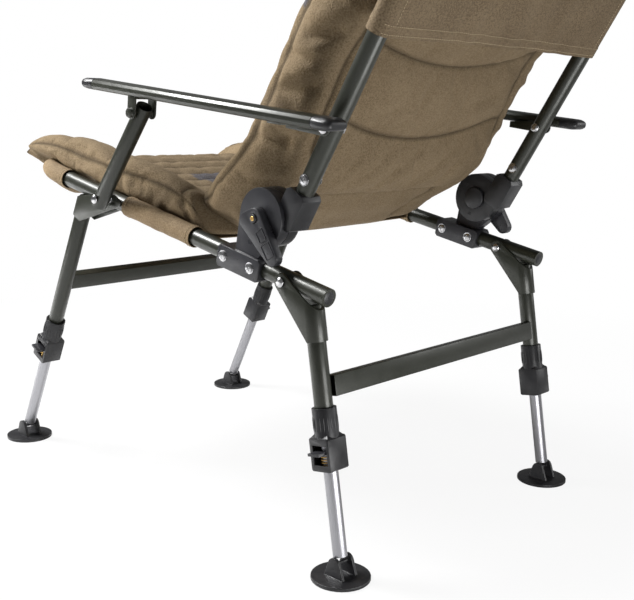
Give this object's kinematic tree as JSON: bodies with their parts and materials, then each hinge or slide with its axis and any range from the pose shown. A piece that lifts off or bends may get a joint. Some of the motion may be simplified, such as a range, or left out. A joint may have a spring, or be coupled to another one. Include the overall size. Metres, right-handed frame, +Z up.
{
  "type": "folding fishing chair",
  "caption": "Folding recliner chair with tubular frame, thick padded seat and back, flat armrests on struts, and telescopic legs on tilting disc feet.",
  "frame": {"origin": "bottom centre of the chair's bounding box at rest, on the floor", "axes": "+X to the sitter's left, +Y from the front of the chair to its back, +Z up"},
  "size_m": [0.607, 1.0649, 1.0357],
  "materials": {
    "frame_paint": "satin dark green paint",
    "hinge_metal": "satin dark grey coating",
    "black_plastic": "moulded black, slightly soft sheen",
    "bolts": "bright zinc plated",
    "inner_legs": "clear anodised, satin",
    "spring": "yellow passivated wire",
    "mattress_cloth": "brushed polyester, olive brown",
    "sling_cloth": "coated woven polyester, olive brown"
  },
  "bodies": {
    "seat": {"seat_frame": "frame_paint", "seat_sling": "sling_cloth", "seat_pad": "mattress_cloth", "rail_cap_left": "black_plastic", "rail_cap_right": "black_plastic", "hinge_base_left": "hinge_metal", "hinge_base_right": "hinge_metal", "front_pivot_bolt_left": "bolts", "front_pivot_bolt_right": "bolts", "rear_pivot_bolt_left": "bolts", "rear_pivot_bolt_right": "bolts"},
    "backrest": {"back_frame": "frame_paint", "back_pad": "mattress_cloth", "back_cover": "sling_cloth", "hinge_socket_left": "black_plastic", "hinge_socket_right": "black_plastic", "hinge_axle_left": "black_plastic", "hinge_axle_right": "black_plastic", "arm_bolt_left": "bolts", "arm_bolt_right": "bolts"},
    "hinge_lever_left": {"hinge_lever_left": "hinge_metal"},
    "armrest_left": {"arm_left": "frame_paint", "arm_front_cap_left": "black_plastic", "arm_rear_cap_left": "black_plastic"},
    "strut_left": {"strut_left": "frame_paint"},
    "hinge_lever_right": {"hinge_lever_right": "hinge_metal"},
    "armrest_right": {"arm_right": "frame_paint", "arm_front_cap_right": "black_plastic", "arm_rear_cap_right": "black_plastic"},
    "strut_right": {"strut_right": "frame_paint"},
    "front_legs": {"front_crossbar": "frame_paint", "front_leg_tube_left": "frame_paint", "front_leg_bracket_left": "frame_paint", "front_lock_left": "black_plastic", "front_lock_spring_left": "spring", "front_leg_tube_right": "frame_paint", "front_leg_bracket_right": "frame_paint", "front_lock_right": "black_plastic", "front_lock_spring_right": "spring"},
    "front_inner_left": {"front_inner_leg_left": "inner_legs"},
    "front_foot_left": {"front_foot_left": "black_plastic"},
    "front_plate_left": {"front_lock_plate_left": "black_plastic"},
    "front_inner_right": {"front_inner_leg_right": "inner_legs"},
    "front_foot_right": {"front_foot_right": "black_plastic"},
    "front_plate_right": {"front_lock_plate_right": "black_plastic"},
    "rear_legs": {"rear_crossbar": "frame_paint", "rear_leg_tube_left": "frame_paint", "rear_leg_bracket_left": "frame_paint", "rear_lock_left": "black_plastic", "rear_lock_spring_left": "spring", "rear_leg_tube_right": "frame_paint", "rear_leg_bracket_right": "frame_paint", "rear_lock_right": "black_plastic", "rear_lock_spring_right": "spring"},
    "rear_inner_left": {"rear_inner_leg_left": "inner_legs"},
    "rear_foot_left": {"rear_foot_left": "black_plastic"},
    "rear_plate_left": {"rear_lock_plate_left": "black_plastic"},
    "rear_inner_right": {"rear_inner_leg_right": "inner_legs"},
    "rear_foot_right": {"rear_foot_right": "black_plastic"},
    "rear_plate_right": {"rear_lock_plate_right": "black_plastic"}
  },
  "joints": [
    {"name": "recline", "type": "hinge", "parent": "seat", "child": "backrest", "pos_m": [0, 0.14586, 0.463], "axis": [1, 0, 0], "range_deg": [-30, 85], "deforming": ["back_pad", "seat_pad"]},
    {"name": "lever_left", "type": "hinge", "parent": "seat", "child": "hinge_lever_left", "pos_m": [0.27, 0.14586, 0.463], "axis": [1, 0, 0], "range_deg": [0, 90]},
    {"name": "armrest_left", "type": "hinge", "parent": "backrest", "child": "armrest_left", "pos_m": [0.284, 0.25336, 0.581], "axis": [1, 0, 0], "range_deg": [-85, 30]},
    {"name": "strut_left", "type": "hinge", "parent": "seat", "child": "strut_left", "pos_m": [0.28, -0.19314, 0.464], "axis": [1, 0, 0], "range_deg": [-29, 80]},
    {"name": "lever_right", "type": "hinge", "parent": "seat", "child": "hinge_lever_right", "pos_m": [-0.27, 0.14586, 0.463], "axis": [1, 0, 0], "range_deg": [0, 90]},
    {"name": "armrest_right", "type": "hinge", "parent": "backrest", "child": "armrest_right", "pos_m": [-0.284, 0.25336, 0.581], "axis": [1, 0, 0], "range_deg": [-85, 30]},
    {"name": "strut_right", "type": "hinge", "parent": "seat", "child": "strut_right", "pos_m": [-0.28, -0.19314, 0.464], "axis": [1, 0, 0], "range_deg": [-29, 80]},
    {"name": "front_legs", "type": "hinge", "parent": "seat", "child": "front_legs", "pos_m": [0, -0.19314, 0.464], "axis": [1, 0, 0], "range_deg": [0, 75]},
    {"name": "front_slide_left", "type": "slide", "parent": "front_legs", "child": "front_inner_left", "axis": [0, 0.4415, 0.8973], "range_m": [-0.09, 0.1]},
    {"name": "front_foot_tilt_left", "type": "hinge", "parent": "front_inner_left", "child": "front_foot_left", "pos_m": [0.25, -0.49414, 0.022], "axis": [1, 0, 0], "range_deg": [-25, 25]},
    {"name": "front_lock_tilt_left", "type": "hinge", "parent": "front_legs", "child": "front_plate_left", "pos_m": [0.2364, -0.41302, 0.18687], "axis": [0, 0.8973, -0.4415], "range_deg": [0, 6], "stiffness_Nm_per_rad": 2, "springref_deg": -8, "deforming": ["front_lock_spring_left"]},
    {"name": "front_slide_right", "type": "slide", "parent": "front_legs", "child": "front_inner_right", "axis": [0, 0.4415, 0.8973], "range_m": [-0.09, 0.1]},
    {"name": "front_foot_tilt_right", "type": "hinge", "parent": "front_inner_right", "child": "front_foot_right", "pos_m": [-0.25, -0.49414, 0.022], "axis": [1, 0, 0], "range_deg": [-25, 25]},
    {"name": "front_lock_tilt_right", "type": "hinge", "parent": "front_legs", "child": "front_plate_right", "pos_m": [-0.2364, -0.41302, 0.18687], "axis": [0, -0.8973, 0.4415], "range_deg": [0, 6], "stiffness_Nm_per_rad": 2, "springref_deg": -8, "deforming": ["front_lock_spring_right"]},
    {"name": "rear_legs", "type": "hinge", "parent": "seat", "child": "rear_legs", "pos_m": [0, 0.18756, 0.383], "axis": [1, 0, 0], "range_deg": [-100, 0]},
    {"name": "rear_slide_left", "type": "slide", "parent": "rear_legs", "child": "rear_inner_left", "axis": [0, -0.1719, 0.9851], "range_m": [-0.08, 0.04]},
    {"name": "rear_foot_tilt_left", "type": "hinge", "parent": "rear_inner_left", "child": "rear_foot_left", "pos_m": [0.25, 0.28986, 0.022], "axis": [1, 0, 0], "range_deg": [-25, 25]},
    {"name": "rear_lock_tilt_left", "type": "hinge", "parent": "rear_legs", "child": "rear_plate_left", "pos_m": [0.2364, 0.26411, 0.16952], "axis": [0, 0.9851, 0.1719], "range_deg": [0, 6], "stiffness_Nm_per_rad": 2, "springref_deg": -8, "deforming": ["rear_lock_spring_left"]},
    {"name": "rear_slide_right", "type": "slide", "parent": "rear_legs", "child": "rear_inner_right", "axis": [0, -0.1719, 0.9851], "range_m": [-0.08, 0.04]},
    {"name": "rear_foot_tilt_right", "type": "hinge", "parent": "rear_inner_right", "child": "rear_foot_right", "pos_m": [-0.25, 0.28986, 0.022], "axis": [1, 0, 0], "range_deg": [-25, 25]},
    {"name": "rear_lock_tilt_right", "type": "hinge", "parent": "rear_legs", "child": "rear_plate_right", "pos_m": [-0.2364, 0.26411, 0.16952], "axis": [0, -0.9851, -0.1719], "range_deg": [0, 6], "stiffness_Nm_per_rad": 2, "springref_deg": -8, "deforming": ["rear_lock_spring_right"]}
  ],
  "couplings": [
    {"joint": "armrest_left", "follows": "recline", "ratio": -0.991},
    {"joint": "strut_left", "follows": "recline", "ratio": 0.937},
    {"joint": "armrest_right", "follows": "recline", "ratio": -0.991},
    {"joint": "strut_right", "follows": "recline", "ratio": 0.937}
  ]
}
